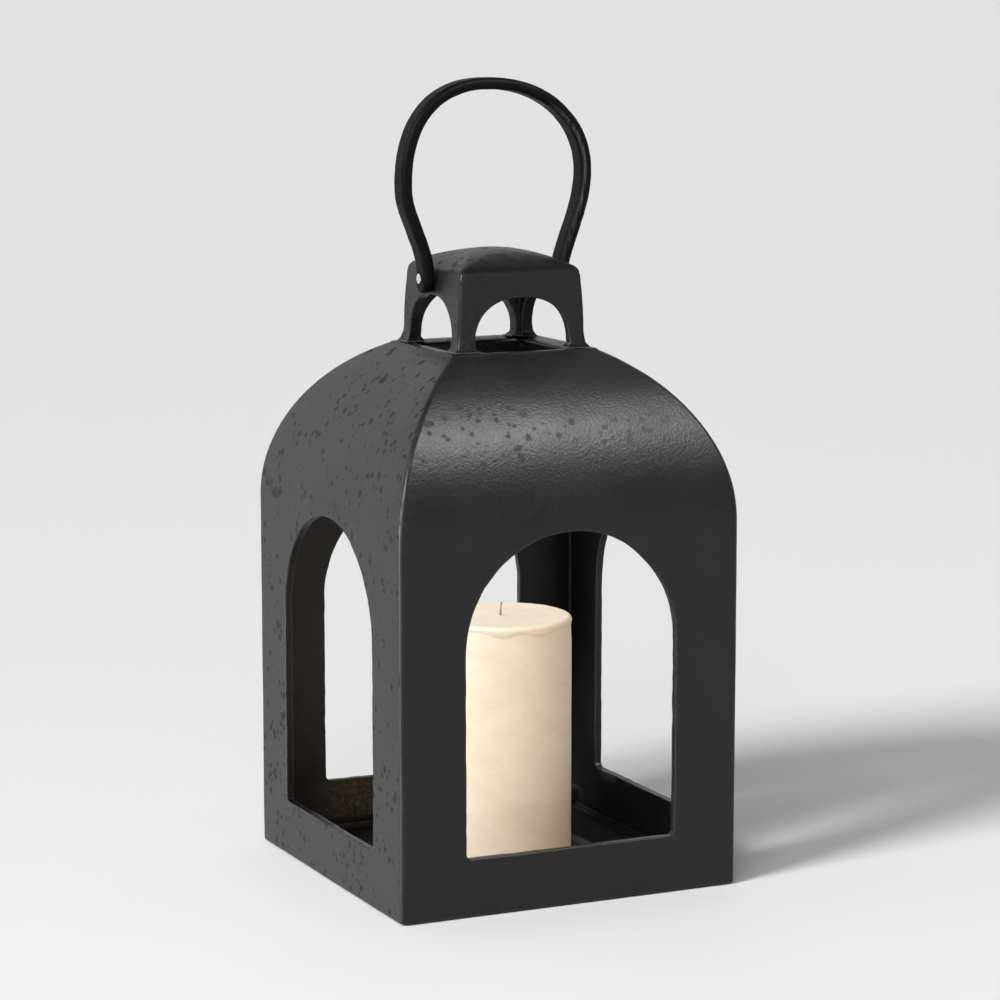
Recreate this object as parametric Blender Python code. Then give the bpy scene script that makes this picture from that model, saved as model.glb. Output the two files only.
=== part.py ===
"""Candle lantern: cast square body with arched windows, vent cap, strap handle and pillar candle.

The model is built in metres with +Z up and stands on the plane z = 0. All sizes below are in
millimetres and are turned into metres as each mesh is made.
"""

import math

import bmesh
import bpy

MM = 0.001
GAP = 0.3  # clearance between pieces that touch

# Body: one hollow casting, square in plan
BODY_HALF = 95.0
BODY_WALL = 4.2
BODY_BASE = 0.8  # the walls stop just above the surface, the pads carry the weight
ARRIS_R = 2.5
SHOULDER_Z = 192.2  # the walls are upright to here, then bend in as a quarter circle
SHOULDER_R = BODY_HALF
RIM_HALF = 40.5
RIM_TOP = 278.6
RIM_UNDER = 274.9
VENT_HALF = 30.0

# Windows, the same in all four walls
WINDOW_HALF = 59.0
SILL_Z = 30.3
SPRING_Z = 134.3
SILL_CORNER_R = 3.0
EDGE_CHAMFER = 1.0  # on the outer face only

# Corner lugs inside the body, which the floor plate is screwed up to
LUG_SIZE = 14.0
LUG_TOP = 14.0

# Floor plate with an upstanding lip and a raised ring round the candle
PLATE_UNDER = 1.4
FLOOR_Z = 3.0
LIP_TOP = 6.0
LIP_WIDTH = 2.4
RING_OUTER_R = 60.0
RING_INNER_R = 54.5
RING_TOP = 5.8
BASE_SCREW_XY = 84.0
BASE_SCREW_R = 2.0
BASE_SCREW_HEAD_R = 3.8
PAD_XY = 68.0
PAD_R = 7.0

# Vent cap: a second casting on four legs
CAP_HALF = 36.0
CAP_CORNER_R = 2.0
CAP_CROWN = 329.4
CAP_INSIDE_HALF = 29.8
CAP_INSIDE_TOP = 318.2
CAP_CROWN_WALL = 5.0
ARCH_HALF = 26.7
ARCH_SPRING = 282.0
ARCH_RISE = 24.0
ARCH_DRAFT = 0.9  # the arches open out towards the inside
ARCH_POWER = 2.3
CAP_SCREW_XY = 32.8
CAP_SCREW_R = 1.5

# Strap handle, which turns on a rivet through each side of the cap
HINGE_Z = 314.4
STRAP_WIDTH = 13.0
STRAP_THICK = 6.2
STRAP_EDGE_R = 2.6
STRAP_FOOT_X = 38.6  # middle of the strap where it lies along the cap
STRAP_END_Z = 313.3  # middle of its rounded ends
STRAP_FOOT_TOP = 316.8
STRAP_TOP_X, STRAP_TOP_Z = -3.5, 414.1
# Each side of the loop: x and z of its widest point, how fast it gets there, and its fullness
STRAP_LEFT = (50.8, 361.3, 1.03, 2.34)
STRAP_RIGHT = (51.9, 367.7, 0.75, 2.08)
RIVET_R = 1.5
RIVET_HEAD_R = 2.9
BURR_R = 3.6

# Pillar candle, which stands loose inside the ring
CANDLE_X, CANDLE_Y = 3.5, -1.7
CANDLE_R = 38.0
CANDLE_TOP = 135.0
WICK_R = 0.7
WICK_TIP = 141.4
TAB_R = 10.0


def clear_scene():
    for obj in list(bpy.data.objects):
        bpy.data.objects.remove(obj, do_unlink=True)


def finish(name, vertices, faces, origin=(0.0, 0.0, 0.0), look=None):
    """Makes one object from vertices in millimetres, with its origin where asked."""
    mesh = bpy.data.meshes.new(name)
    ox, oy, oz = origin
    mesh.from_pydata(
        [((x - ox) * MM, (y - oy) * MM, (z - oz) * MM) for x, y, z in vertices], [], faces
    )
    shape = bmesh.new()
    shape.from_mesh(mesh)
    bmesh.ops.remove_doubles(shape, verts=shape.verts, dist=1e-7)
    bmesh.ops.recalc_face_normals(shape, faces=shape.faces)
    shape.to_mesh(mesh)
    shape.free()
    obj = bpy.data.objects.new(name, mesh)
    obj.location = (ox * MM, oy * MM, oz * MM)
    bpy.context.scene.collection.objects.link(obj)
    if look:
        paint(obj, *look)
    return obj


def paint(obj, colour, roughness, metallic):
    material = bpy.data.materials.new(obj.name)
    material.use_nodes = True
    shader = material.node_tree.nodes["Principled BSDF"]
    shader.inputs["Base Color"].default_value = (*colour, 1.0)
    shader.inputs["Roughness"].default_value = roughness
    shader.inputs["Metallic"].default_value = metallic
    material.diffuse_color = (*colour, 1.0)
    obj.data.materials.append(material)
    obj.data.shade_smooth()
    obj.data.set_sharp_from_angle(angle=math.radians(35))


def loft(rings, closed=False):
    """Quads from ring to ring, ends filled, or the last ring joined to the first if closed."""
    count = len(rings[0])
    vertices = [point for ring in rings for point in ring]
    faces = []
    for i in range(len(rings) if closed else len(rings) - 1):
        a, b = i * count, (i + 1) % len(rings) * count
        faces += [
            (a + k, a + (k + 1) % count, b + (k + 1) % count, b + k) for k in range(count)
        ]
    if not closed:
        last = (len(rings) - 1) * count
        faces += [tuple(range(count))[::-1], tuple(range(last, last + count))]
    return vertices, faces


def square_ring(half, radius, z, steps=4):
    """A square with rounded corners, centred on the axis."""
    ring = []
    for corner in range(4):
        middle = math.radians(45 + 90 * corner)
        cx = math.copysign(half - radius, math.cos(middle))
        cy = math.copysign(half - radius, math.sin(middle))
        for k in range(steps + 1):
            angle = math.radians(90 * corner + 90 * k / steps)
            ring.append((cx + radius * math.cos(angle), cy + radius * math.sin(angle), z))
    return ring


def turned(profile, x=0.0, y=0.0, sides=32):
    """Rings round a vertical axis from (radius, z) pairs."""
    return [
        [
            (
                x + r * math.cos(2 * math.pi * k / sides),
                y + r * math.sin(2 * math.pi * k / sides),
                z,
            )
            for k in range(sides)
        ]
        for r, z in profile
    ]


def turned_along_x(profile, z, sides=18):
    """Rings round the hinge axis from (radius, x) pairs."""
    return [
        [
            (
                x,
                r * math.cos(2 * math.pi * k / sides),
                z + r * math.sin(2 * math.pi * k / sides),
            )
            for k in range(sides)
        ]
        for r, x in profile
    ]


def cutter(name, vertices, faces):
    obj = finish(name, vertices, faces)
    obj.hide_render = True
    obj.display_type = "WIRE"
    return obj


def combine(obj, others, operation="DIFFERENCE"):
    for other in others:
        modifier = obj.modifiers.new(other.name, "BOOLEAN")
        modifier.operation = operation
        modifier.solver = "EXACT"
        modifier.object = other


def window_outline(grow, steps=28):
    """Half-round arch over upright jambs with eased sill corners, as (across, height) pairs."""
    half = WINDOW_HALF + grow
    sill = SILL_Z - grow
    radius = SILL_CORNER_R + grow
    points = [
        (half * math.cos(math.pi * k / steps), SPRING_Z + half * math.sin(math.pi * k / steps))
        for k in range(steps + 1)
    ]
    for side, start in ((-1, 180), (1, 270)):
        for k in range(4):
            angle = math.radians(start + 30 * k)
            points.append(
                (
                    side * (half - radius) + radius * math.cos(angle),
                    sill + radius + radius * math.sin(angle),
                )
            )
    return points


def cap_arch_outline(grow, steps=20):
    """Full, slightly squared arch whose legs spread a little at the foot."""
    points = [
        (
            math.copysign(
                (ARCH_HALF + grow) * abs(math.cos(math.pi * k / steps)) ** (2 / ARCH_POWER),
                math.cos(math.pi * k / steps),
            ),
            ARCH_SPRING
            + (ARCH_RISE + grow) * max(0.0, math.sin(math.pi * k / steps)) ** (2 / ARCH_POWER),
        )
        for k in range(steps + 1)
    ]
    half = ARCH_HALF + grow
    foot = [(half - 0.5, 280.4), (half - 1.7, 279.3), (half - 3.4, 278.7), (half - 3.4, 270.0)]
    return points + [(-x, z) for x, z in foot] + foot[::-1]


def through_cutters(name, rings_at):
    """The same passage along Y and along X. rings_at lists (distance, outline) pairs."""
    along_y = [[(a, d, h) for a, h in outline] for d, outline in rings_at]
    along_x = [[(d, a, h) for a, h in outline] for d, outline in rings_at]
    return [
        cutter(name + "_along_y", *loft(along_y)),
        cutter(name + "_along_x", *loft(along_x)),
    ]


def post_cutters(name, profile, distance, sides=18):
    """The same turned hole at four corners."""
    return [
        cutter(f"{name}_{i + 1}", *loft(turned(profile, sx * distance, sy * distance, sides)))
        for i, (sx, sy) in enumerate(CORNERS)
    ]


def build_body():
    centre = BODY_HALF - SHOULDER_R
    sweep_to = math.acos((RIM_HALF + 1.0 - centre) / SHOULDER_R)
    inner_r = SHOULDER_R - BODY_WALL
    inner_to = math.asin((RIM_UNDER - SHOULDER_Z) / inner_r)
    inside_r = 1.5
    rings = [
        square_ring(BODY_HALF - 0.5, ARRIS_R, BODY_BASE),
        square_ring(BODY_HALF, ARRIS_R, BODY_BASE + 0.5),
    ]
    steps = 14
    for k in range(steps + 1):
        angle = sweep_to * k / steps
        rings.append(
            square_ring(
                centre + SHOULDER_R * math.cos(angle),
                ARRIS_R,
                SHOULDER_Z + SHOULDER_R * math.sin(angle),
            )
        )
    rings.append(square_ring(RIM_HALF, ARRIS_R, RIM_TOP))
    rings.append(square_ring(VENT_HALF + 0.5, ARRIS_R, RIM_TOP))
    rings.append(square_ring(VENT_HALF, ARRIS_R, RIM_TOP - 0.5))
    rings.append(square_ring(VENT_HALF, ARRIS_R, RIM_UNDER))
    for k in range(steps + 1):
        angle = inner_to * (1 - k / steps)
        rings.append(
            square_ring(
                centre + inner_r * math.cos(angle),
                inside_r,
                SHOULDER_Z + inner_r * math.sin(angle),
            )
        )
    rings.append(square_ring(BODY_HALF - BODY_WALL, inside_r, BODY_BASE))
    body = finish("body_shell", *loft(rings, closed=True), look=(PAINT, 0.5, 0.1))

    lugs = []
    inside = BODY_HALF - BODY_WALL + 1.0
    for i, (sx, sy) in enumerate(CORNERS):
        reach = inside - LUG_SIZE
        outline = [(inside, inside), (reach, inside), (reach, inside - LUG_SIZE * 0.55)]
        outline += [(inside - LUG_SIZE * 0.55, reach), (inside, reach)]
        lug = [
            [(sx * x, sy * y, z) for x, y in outline] for z in (LIP_TOP + GAP, LUG_TOP)
        ]
        lugs.append(cutter(f"lug_{i + 1}", *loft(lug)))
    combine(body, lugs, "UNION")

    face, back = BODY_HALF, BODY_HALF - BODY_WALL
    cut = EDGE_CHAMFER
    stations = [(face + 2, 2 + cut), (face - cut, 0), (back - 1, 0)]
    stations += [(-d, grow) for d, grow in reversed(stations)]
    combine(body, through_cutters("window", [(d, window_outline(g)) for d, g in stations]))

    hole = BASE_SCREW_R + GAP
    combine(body, post_cutters("lug_hole", [(hole, 2.0), (hole, 13.2)], BASE_SCREW_XY))
    hole = CAP_SCREW_R + GAP
    combine(body, post_cutters("rim_hole", [(hole, 270.0), (hole, 284.0)], CAP_SCREW_XY))


def build_plate():
    half = BODY_HALF - BODY_WALL - GAP
    inner = half - LIP_WIDTH
    rings = [
        square_ring(half - 0.4, 1.5, PLATE_UNDER),
        square_ring(half, 1.5, PLATE_UNDER + 0.4),
        square_ring(half, 1.5, LIP_TOP - 0.4),
        square_ring(half - 0.4, 1.5, LIP_TOP),
        square_ring(inner + 0.6, 1.5, LIP_TOP),
        square_ring(inner, 1.5, LIP_TOP - 0.6),
        square_ring(inner - 0.8, 1.5, FLOOR_Z),
    ]
    plate = finish("base_plate", *loft(rings), look=(PAINT, 0.55, 0.1))
    middle = (RING_OUTER_R + RING_INNER_R) / 2
    ring = turned(
        [
            (RING_OUTER_R + 0.6, FLOOR_Z - 0.8),
            (RING_OUTER_R, RING_TOP - 1.0),
            (middle + 0.9, RING_TOP),
            (middle - 0.9, RING_TOP),
            (RING_INNER_R, RING_TOP - 1.0),
            (RING_INNER_R - 0.6, FLOOR_Z - 0.8),
        ],
        sides=48,
    )
    raised = [cutter("candle_ring", *loft(ring, closed=True))]
    boss = [(5.4, FLOOR_Z - 0.8), (5.0, LIP_TOP)]
    raised += post_cutters("plate_boss", boss, BASE_SCREW_XY)
    combine(plate, raised, "UNION")
    head, shank = BASE_SCREW_HEAD_R + GAP + 0.1, BASE_SCREW_R + GAP
    sink = [(head + 0.5, PLATE_UNDER - 0.5), (shank, PLATE_UNDER + 1.9), (shank, LIP_TOP + 1)]
    combine(plate, post_cutters("plate_hole", sink, BASE_SCREW_XY))


def build_base_fasteners():
    for i, (sx, sy) in enumerate(CORNERS):
        x, y = sx * BASE_SCREW_XY, sy * BASE_SCREW_XY
        profile = [
            (BASE_SCREW_HEAD_R - 0.4, PLATE_UNDER + 0.1),
            (BASE_SCREW_HEAD_R, PLATE_UNDER + 0.3),
            (BASE_SCREW_R, PLATE_UNDER + 2.0),
            (BASE_SCREW_R, 12.3),
            (BASE_SCREW_R - 0.5, 12.8),
        ]
        screw = finish(
            f"base_screw_{i + 1}", *loft(turned(profile, x, y, 18)), look=(STEEL, 0.35, 1.0)
        )
        slot = [
            [(x + a, y + b, z) for a, b in ((-2.6, -0.4), (2.6, -0.4), (2.6, 0.4), (-2.6, 0.4))]
            for z in (PLATE_UNDER - 1, PLATE_UNDER + 0.8)
        ]
        combine(screw, [cutter(f"base_slot_{i + 1}", *loft(slot))])
        pad = [
            (PAD_R - 0.4, 0.0),
            (PAD_R, 0.3),
            (PAD_R, PLATE_UNDER - GAP),
        ]
        rings = turned(pad, sx * PAD_XY, sy * PAD_XY, 24)
        finish(f"foot_pad_{i + 1}", *loft(rings), look=(RUBBER, 0.9, 0.0))


def build_cap():
    foot = RIM_TOP + GAP
    sides = [
        (CAP_HALF + 2.6, foot),
        (CAP_HALF + 1.5, foot + 1.1),
        (CAP_HALF + 0.6, foot + 3.0),
        (CAP_HALF, foot + 6.2),
        (CAP_HALF - 0.3, foot + 14.4),
        (CAP_HALF - 0.7, foot + 24.9),
        (CAP_HALF - 1.3, foot + 32.9),
        (CAP_HALF - 1.8, foot + 38.1),
        (CAP_HALF - 2.6, foot + 40.6),
        (CAP_HALF - 3.9, foot + 42.0),
    ]
    rings = [square_ring(half, CAP_CORNER_R, z) for half, z in sides]
    edge, edge_z = sides[-1]
    steps = 9
    for k in range(1, steps + 1):
        part = 1 - k / (steps + 0.4)
        half = edge * part
        z = CAP_CROWN - (CAP_CROWN - edge_z) * part**2.4
        rings.append(square_ring(half, min(half * 0.9, CAP_CORNER_R + 1.6 * k), z))
    cap = finish("vent_cap", *loft(rings), look=(PAINT, 0.5, 0.1))

    hollow = [square_ring(CAP_INSIDE_HALF, 3.0, z) for z in (270.0, CAP_INSIDE_TOP)]
    hollow.append(square_ring(CAP_INSIDE_HALF - 1.6, 4.0, CAP_INSIDE_TOP + 1.6))
    hollow.append(square_ring(CAP_INSIDE_HALF - 5.0, 6.0, CAP_INSIDE_TOP + 3.2))
    hollow.append(square_ring(14.0, 8.0, CAP_CROWN - CAP_CROWN_WALL))
    combine(cap, [cutter("cap_hollow", *loft(hollow))])
    stations = [(50.0, 0.0), (CAP_HALF, 0.0), (CAP_INSIDE_HALF, ARCH_DRAFT)]
    stations += [(-d, grow) for d, grow in reversed(stations)]
    arches = [(d, cap_arch_outline(grow)) for d, grow in stations]
    combine(cap, through_cutters("cap_arch", arches))
    hole = RIVET_R + GAP
    pivot = loft(turned_along_x([(hole, -50.0), (hole, 50.0)], HINGE_Z))
    hole = CAP_SCREW_R + GAP
    combine(cap, [cutter("rivet_hole", *pivot)])
    combine(cap, post_cutters("leg_hole", [(hole, 270.0), (hole, 290.6)], CAP_SCREW_XY))

    for i, (sx, sy) in enumerate(CORNERS):
        profile = [
            (1.8, RIM_UNDER - GAP - 1.7),
            (2.3, RIM_UNDER - GAP - 1.2),
            (2.3, RIM_UNDER - GAP),
            (CAP_SCREW_R, RIM_UNDER - GAP),
            (CAP_SCREW_R, 289.8),
            (CAP_SCREW_R - 0.4, 290.2),
        ]
        rings = turned(profile, sx * CAP_SCREW_XY, sy * CAP_SCREW_XY, 18)
        finish(f"cap_screw_{i + 1}", *loft(rings), look=(PAINT, 0.4, 0.1))


def strap_side(belly_x, belly_z, haste, power, top_x):
    """(x, z, half width) up one leg of the strap and over to the top of the loop."""
    half = STRAP_WIDTH / 2
    side = []
    for k in range(6):  # rounded end
        angle = math.radians(14 + 76 * k / 5)
        side.append((STRAP_FOOT_X, STRAP_END_Z - half * math.cos(angle), half * math.sin(angle)))
    steps = 11
    for k in range(steps + 1):  # out from the foot to the belly of the loop
        t = k / steps
        ease = (t * t * (3 - 2 * t)) ** haste
        x = STRAP_FOOT_X + (belly_x - STRAP_FOOT_X) * ease
        side.append((x, STRAP_FOOT_TOP + (belly_z - STRAP_FOOT_TOP) * t, half))
    steps = 10
    for k in range(1, steps + 1):  # over the top
        angle = math.radians(90 * k / steps)
        x = top_x + (belly_x - top_x) * math.cos(angle) ** (2 / power)
        side.append((x, belly_z + (STRAP_TOP_Z - belly_z) * math.sin(angle) ** (2 / power), half))
    return side


def strap_path():
    """(x, z, half width) down the middle of the strap, from the left foot over to the right."""
    left = [(-x, z, w) for x, z, w in strap_side(*STRAP_LEFT, -STRAP_TOP_X)]
    return left + strap_side(*STRAP_RIGHT, STRAP_TOP_X)[-2::-1]


def build_handle():
    path = strap_path()
    section = []
    radius = STRAP_EDGE_R
    for corner, (sy, sn) in enumerate(((1, 1), (-1, 1), (-1, -1), (1, -1))):
        for k in range(4):
            angle = math.radians(90 * corner + 30 * k)
            section.append(
                (
                    sy * (STRAP_WIDTH / 2 - radius) + radius * math.cos(angle),
                    sn * (STRAP_THICK / 2 - radius) + radius * math.sin(angle),
                )
            )
    rings = []
    for i, (x, z, half) in enumerate(path):
        x0, z0, _ = path[max(i - 1, 0)]
        x1, z1, _ = path[min(i + 1, len(path) - 1)]
        length = math.hypot(x1 - x0, z1 - z0)
        nx, nz = -(z1 - z0) / length, (x1 - x0) / length
        share = half / (STRAP_WIDTH / 2)
        rings.append([(x + nx * n, y * share, z + nz * n) for y, n in section])
    strap = finish(
        "handle_strap", *loft(rings), origin=(0.0, 0.0, HINGE_Z), look=(STRAP, 0.5, 0.0)
    )
    hole = RIVET_R + GAP
    pivot = loft(turned_along_x([(hole, -60.0), (hole, 60.0)], HINGE_Z))
    combine(strap, [cutter("strap_hole", *pivot)])

    outside = STRAP_FOOT_X + STRAP_THICK / 2 + GAP
    burr_in = CAP_INSIDE_HALF - GAP - 1.2
    for side, sign in (("left", -1), ("right", 1)):
        profile = [
            (0.8, outside + 1.0),
            (1.9, outside + 0.8),
            (2.6, outside + 0.5),
            (RIVET_HEAD_R, outside),
            (RIVET_R, outside),
            (RIVET_R, burr_in - GAP),
            (2.5, burr_in - GAP),
            (2.2, burr_in - GAP - 0.9),
            (1.2, burr_in - GAP - 1.3),
        ]
        rings = turned_along_x([(r, sign * x) for r, x in profile], HINGE_Z)
        finish(f"handle_rivet_{side}", *loft(rings), look=(NICKEL, 0.25, 1.0))
        inner = RIVET_R + GAP
        profile = [(BURR_R, burr_in + 1.2), (inner, burr_in + 1.2), (inner, burr_in)]
        profile.append((BURR_R, burr_in))
        rings = turned_along_x([(r, sign * x) for r, x in profile], HINGE_Z)
        finish(f"rivet_burr_{side}", *loft(rings, closed=True), look=(STEEL, 0.35, 1.0))


def build_candle():
    bottom = FLOOR_Z + GAP
    hole = WICK_R + GAP
    dish = [(CANDLE_R * share, CANDLE_TOP - 2.2 + 2.2 * share**3) for share in (0.9, 0.7, 0.4)]
    profile = [
        (hole, bottom + 1.0),
        (TAB_R + GAP, bottom + 1.0),
        (TAB_R + GAP, bottom),
        (CANDLE_R - 0.8, bottom),
        (CANDLE_R, bottom + 0.8),
    ]
    for k in range(6):  # softened shoulder
        angle = math.radians(90 * k / 5)
        across = CANDLE_R - 3.0 + 3.0 * math.cos(angle)
        profile.append((across, CANDLE_TOP - 3.0 + 3.0 * math.sin(angle)))
    profile += dish + [(hole, CANDLE_TOP - 2.2)]
    origin = (CANDLE_X, CANDLE_Y, bottom)
    rings = turned(profile, CANDLE_X, CANDLE_Y, 48)
    finish("candle_wax", *loft(rings, closed=True), origin=origin, look=(WAX, 0.55, 0.0))

    wick = []
    for k in range(9):
        t = max(0.0, (k - 1) / 7)
        z = bottom + 0.2 if k == 0 else CANDLE_TOP - 3.0 + (WICK_TIP - CANDLE_TOP + 3.0) * t
        lean = 1.2 * max(0.0, t - 0.3) ** 2
        radius = WICK_R if k < 8 else WICK_R * 0.6
        wick += turned([(radius, z)], CANDLE_X + lean, CANDLE_Y, 12)
    finish("candle_wick", *loft(wick), origin=origin, look=(COTTON, 0.9, 0.0))
    tab = [
        (hole, bottom + 0.1),
        (TAB_R, bottom + 0.1),
        (TAB_R, bottom + 0.5),
        (hole + 0.5, bottom + 0.5),
        (hole + 0.5, bottom + 0.7),
        (hole, bottom + 0.7),
    ]
    rings = turned(tab, CANDLE_X, CANDLE_Y, 24)
    finish("wick_tab", *loft(rings, closed=True), origin=origin, look=(STEEL, 0.35, 1.0))


CORNERS = ((1, 1), (-1, 1), (-1, -1), (1, -1))
PAINT = (0.022, 0.022, 0.023)
STRAP = (0.012, 0.012, 0.012)
STEEL = (0.55, 0.55, 0.56)
NICKEL = (0.78, 0.77, 0.75)
RUBBER = (0.02, 0.02, 0.02)
WAX = (0.84, 0.72, 0.55)
COTTON = (0.75, 0.72, 0.65)

clear_scene()
build_body()
build_plate()
build_base_fasteners()
build_cap()
build_handle()
build_candle()
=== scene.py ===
import math

import bmesh
import bpy
import numpy as np
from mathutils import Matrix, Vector, noise


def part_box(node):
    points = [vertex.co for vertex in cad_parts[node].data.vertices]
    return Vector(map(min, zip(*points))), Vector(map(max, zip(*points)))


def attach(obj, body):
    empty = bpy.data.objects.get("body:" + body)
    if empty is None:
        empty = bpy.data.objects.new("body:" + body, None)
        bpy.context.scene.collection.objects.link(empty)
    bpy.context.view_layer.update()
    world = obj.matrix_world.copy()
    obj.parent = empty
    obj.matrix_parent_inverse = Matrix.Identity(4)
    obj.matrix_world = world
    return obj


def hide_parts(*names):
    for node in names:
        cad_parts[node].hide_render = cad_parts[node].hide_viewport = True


noise.seed_set(1)  # left alone, Blender seeds noise_vector from the clock

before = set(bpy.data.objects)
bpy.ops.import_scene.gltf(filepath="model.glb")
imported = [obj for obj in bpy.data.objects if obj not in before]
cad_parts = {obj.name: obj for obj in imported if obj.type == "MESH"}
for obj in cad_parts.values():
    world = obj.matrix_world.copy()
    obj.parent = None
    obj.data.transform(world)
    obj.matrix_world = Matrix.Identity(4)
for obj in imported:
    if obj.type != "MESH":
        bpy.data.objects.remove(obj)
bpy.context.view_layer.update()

# Lengths are in millimetres until a mesh is made.
MM = 0.001

# ---------------------------------------------------------------- camera, light and floor

CAMERA_AT = (-0.73932773, -1.57848735, 0.46659047)
CAMERA_TURN = 0.4401496
CAMERA_PITCH = 0.1540180
FOCAL_MM = 120.52
SENSOR_MM = 36.0
FLOOR_SIZE = 200
FLOOR_GREY, FLOOR_ROUGH, FLOOR_SHINE = 0.86, 0.75, 0.15
SKY_BRIGHT, SKY_DIM, SKY_TOP = 0.95, 0.20, 0.18
SKY_TOWARD = (-0.62, 0.78, 0.0)
SKY_FADE = (0.30, 0.95)
WHITE = (1.0, 1.0, 1.0)
# Where it shines from, strength, width in degrees, colour
SUNS = {
    "key": ((-0.82, -0.25, 0.52), 3.3, 17, WHITE),
    "arris": ((-1.0, 0.03, 0.02), 3.5, 2, WHITE),
    "cap_front": ((0.05, -0.82, 0.40), 0.8, 60, WHITE),
    "candle_left": ((-0.86, -0.06, 0.88), 4.0, 60, (1.0, 1.0, 1.03)),
    "candle_front": ((0.05, -0.82, 0.57), 1.2, 60, (1.0, 0.84, 0.72)),
}
# Place, target, diameter, watts
DISKS = {
    "shoulder": ((0.39, -0.69, 1.11), (0, -0.05, 0.23), 0.42, 13.0),
    "table": ((-0.75, -1.05, 1.0), (-0.15, -0.35, 0), 0.7, 5.6),
}
# The only pieces a light falls on
LIT_ALONE = {
    "arris": ["body_casting"],
    "cap_front": ["cap_casting"],
    "table": ["floor"],
    "candle_left": ["pillar_candle", "braided_wick"],
    "candle_front": ["pillar_candle", "braided_wick"],
}
# The pieces a light leaves out
LEFT_OUT = {
    "shoulder": ["floor", "cap_casting", "pillar_candle"],
    "key": ["pillar_candle", "braided_wick"],
}


def build_stage():
    data = bpy.data.cameras.new("camera")
    camera = bpy.data.objects.new("camera", data)
    bpy.context.scene.collection.objects.link(camera)
    data.sensor_width = SENSOR_MM
    data.lens = FOCAL_MM
    camera.location = CAMERA_AT
    camera.rotation_euler = (math.pi / 2 - CAMERA_PITCH, 0, -CAMERA_TURN)
    bpy.context.scene.camera = camera

    bpy.ops.mesh.primitive_plane_add(size=FLOOR_SIZE)
    floor = bpy.context.object
    floor.name = "floor"
    material, _, _, shader = new_material("floor_paint")
    shader.inputs["Base Color"].default_value = (FLOOR_GREY, FLOOR_GREY, FLOOR_GREY, 1)
    shader.inputs["Roughness"].default_value = FLOOR_ROUGH
    shader.inputs["Specular IOR Level"].default_value = FLOOR_SHINE
    floor.data.materials.append(material)

    build_world()
    for name, (place, strength, width, colour) in SUNS.items():
        data = bpy.data.lights.new(name, "SUN")
        data.energy = strength
        data.angle = math.radians(width)
        data.color = colour
        aim_light(name, data, place, (0, 0, 0))
    for name, (place, target, diameter, watts) in DISKS.items():
        data = bpy.data.lights.new(name, "AREA")
        data.shape = "DISK"
        data.size = diameter
        data.energy = watts
        aim_light(name, data, place, target)
    bpy.context.scene.view_settings.view_transform = "Standard"


def aim_light(name, data, place, target):
    light = bpy.data.objects.new(name, data)
    light.location = place
    aim = Vector(target) - Vector(place)
    light.rotation_euler = aim.to_track_quat("-Z", "Y").to_euler()
    bpy.context.scene.collection.objects.link(light)


def share_light():
    """Limits lights to their pieces. Only the candle and wick block the candle's lights."""
    for state, groups in (("INCLUDE", LIT_ALONE), ("EXCLUDE", LEFT_OUT)):
        for name, pieces in groups.items():
            group = bpy.data.collections.new("group_" + name)
            for piece in pieces:
                group.objects.link(bpy.data.objects[piece])
            bpy.data.objects[name].light_linking.receiver_collection = group
            for member in group.collection_objects:
                member.light_linking.link_state = state
    for name in ("candle_left", "candle_front"):
        own = bpy.data.objects[name].light_linking
        own.blocker_collection = own.receiver_collection


def build_world():
    """A studio bright low down behind and to the left, and dimmer overhead and to the right."""
    world = bpy.data.worlds.new("studio")
    bpy.context.scene.world = world
    world.use_nodes = True
    nodes, links = world.node_tree.nodes, world.node_tree.links

    def remap(value, low, high, out_low, out_high):
        node = nodes.new("ShaderNodeMapRange")
        node.interpolation_type = "SMOOTHSTEP"
        for socket, number in zip(
            ("From Min", "From Max", "To Min", "To Max"), (low, high, out_low, out_high)
        ):
            node.inputs[socket].default_value = number
        links.new(value, node.inputs["Value"])
        return node.outputs["Result"]

    place = nodes.new("ShaderNodeTexCoord").outputs["Generated"]
    toward = nodes.new("ShaderNodeVectorMath")
    toward.operation = "DOT_PRODUCT"
    toward.inputs[1].default_value = SKY_TOWARD
    links.new(place, toward.inputs[0])
    level = remap(toward.outputs["Value"], -1.0, 0.9, SKY_DIM, SKY_BRIGHT)
    split = nodes.new("ShaderNodeSeparateXYZ")
    links.new(place, split.inputs[0])
    high = remap(split.outputs["Z"], *SKY_FADE, 0.0, 1.0)
    blend = nodes.new("ShaderNodeMix")
    links.new(high, blend.inputs["Factor"])
    links.new(level, blend.inputs[2])
    blend.inputs[3].default_value = SKY_TOP
    links.new(blend.outputs[0], nodes["Background"].inputs["Strength"])
    nodes["Background"].inputs["Color"].default_value = (1, 1, 1, 1)


# ---------------------------------------------------------------- materials


def new_material(name):
    material = bpy.data.materials.new(name)
    material.use_nodes = True
    tree = material.node_tree
    return material, tree.nodes, tree.links, tree.nodes["Principled BSDF"]


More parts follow.
